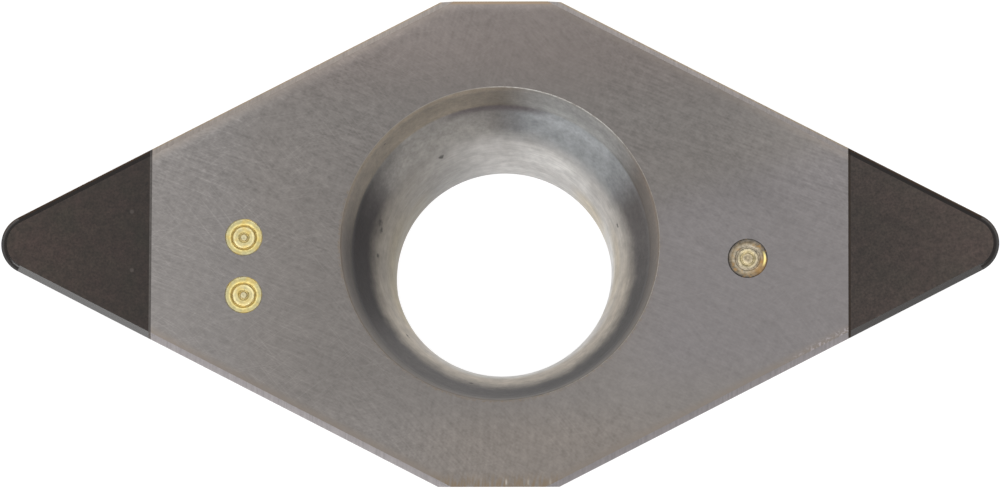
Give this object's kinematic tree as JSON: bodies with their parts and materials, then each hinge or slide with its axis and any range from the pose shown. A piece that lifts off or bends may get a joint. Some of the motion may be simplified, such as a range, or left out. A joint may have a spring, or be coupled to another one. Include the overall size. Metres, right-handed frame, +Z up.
{
  "type": "cbn turning insert",
  "caption": "55 degree diamond carbide cutting insert with a countersunk screw hole and a brazed boron nitride tip at each acute corner, for finish turning hardened steel.",
  "frame": {"origin": "on the axis of the screw hole, in the bottom seating face, which is the middle of the bottom of the bounding box", "axes": "+Z up out of the top face along the screw hole, +X along the long diagonal towards the right tip, +Y across the obtuse corners"},
  "size_m": [0.0128, 0.0064, 0.0024],
  "materials": {
    "carbide": "fine ground cemented carbide, grey",
    "boron_nitride": "ground boron nitride compact, dark brown-grey",
    "braze": "oxidised silver braze, dark brown"
  },
  "bodies": {
    "root": {"insert_body": "carbide", "cbn_tip_left": "boron_nitride", "cbn_tip_right": "boron_nitride", "braze_left": "braze", "braze_right": "braze"}
  },
  "joints": []
}
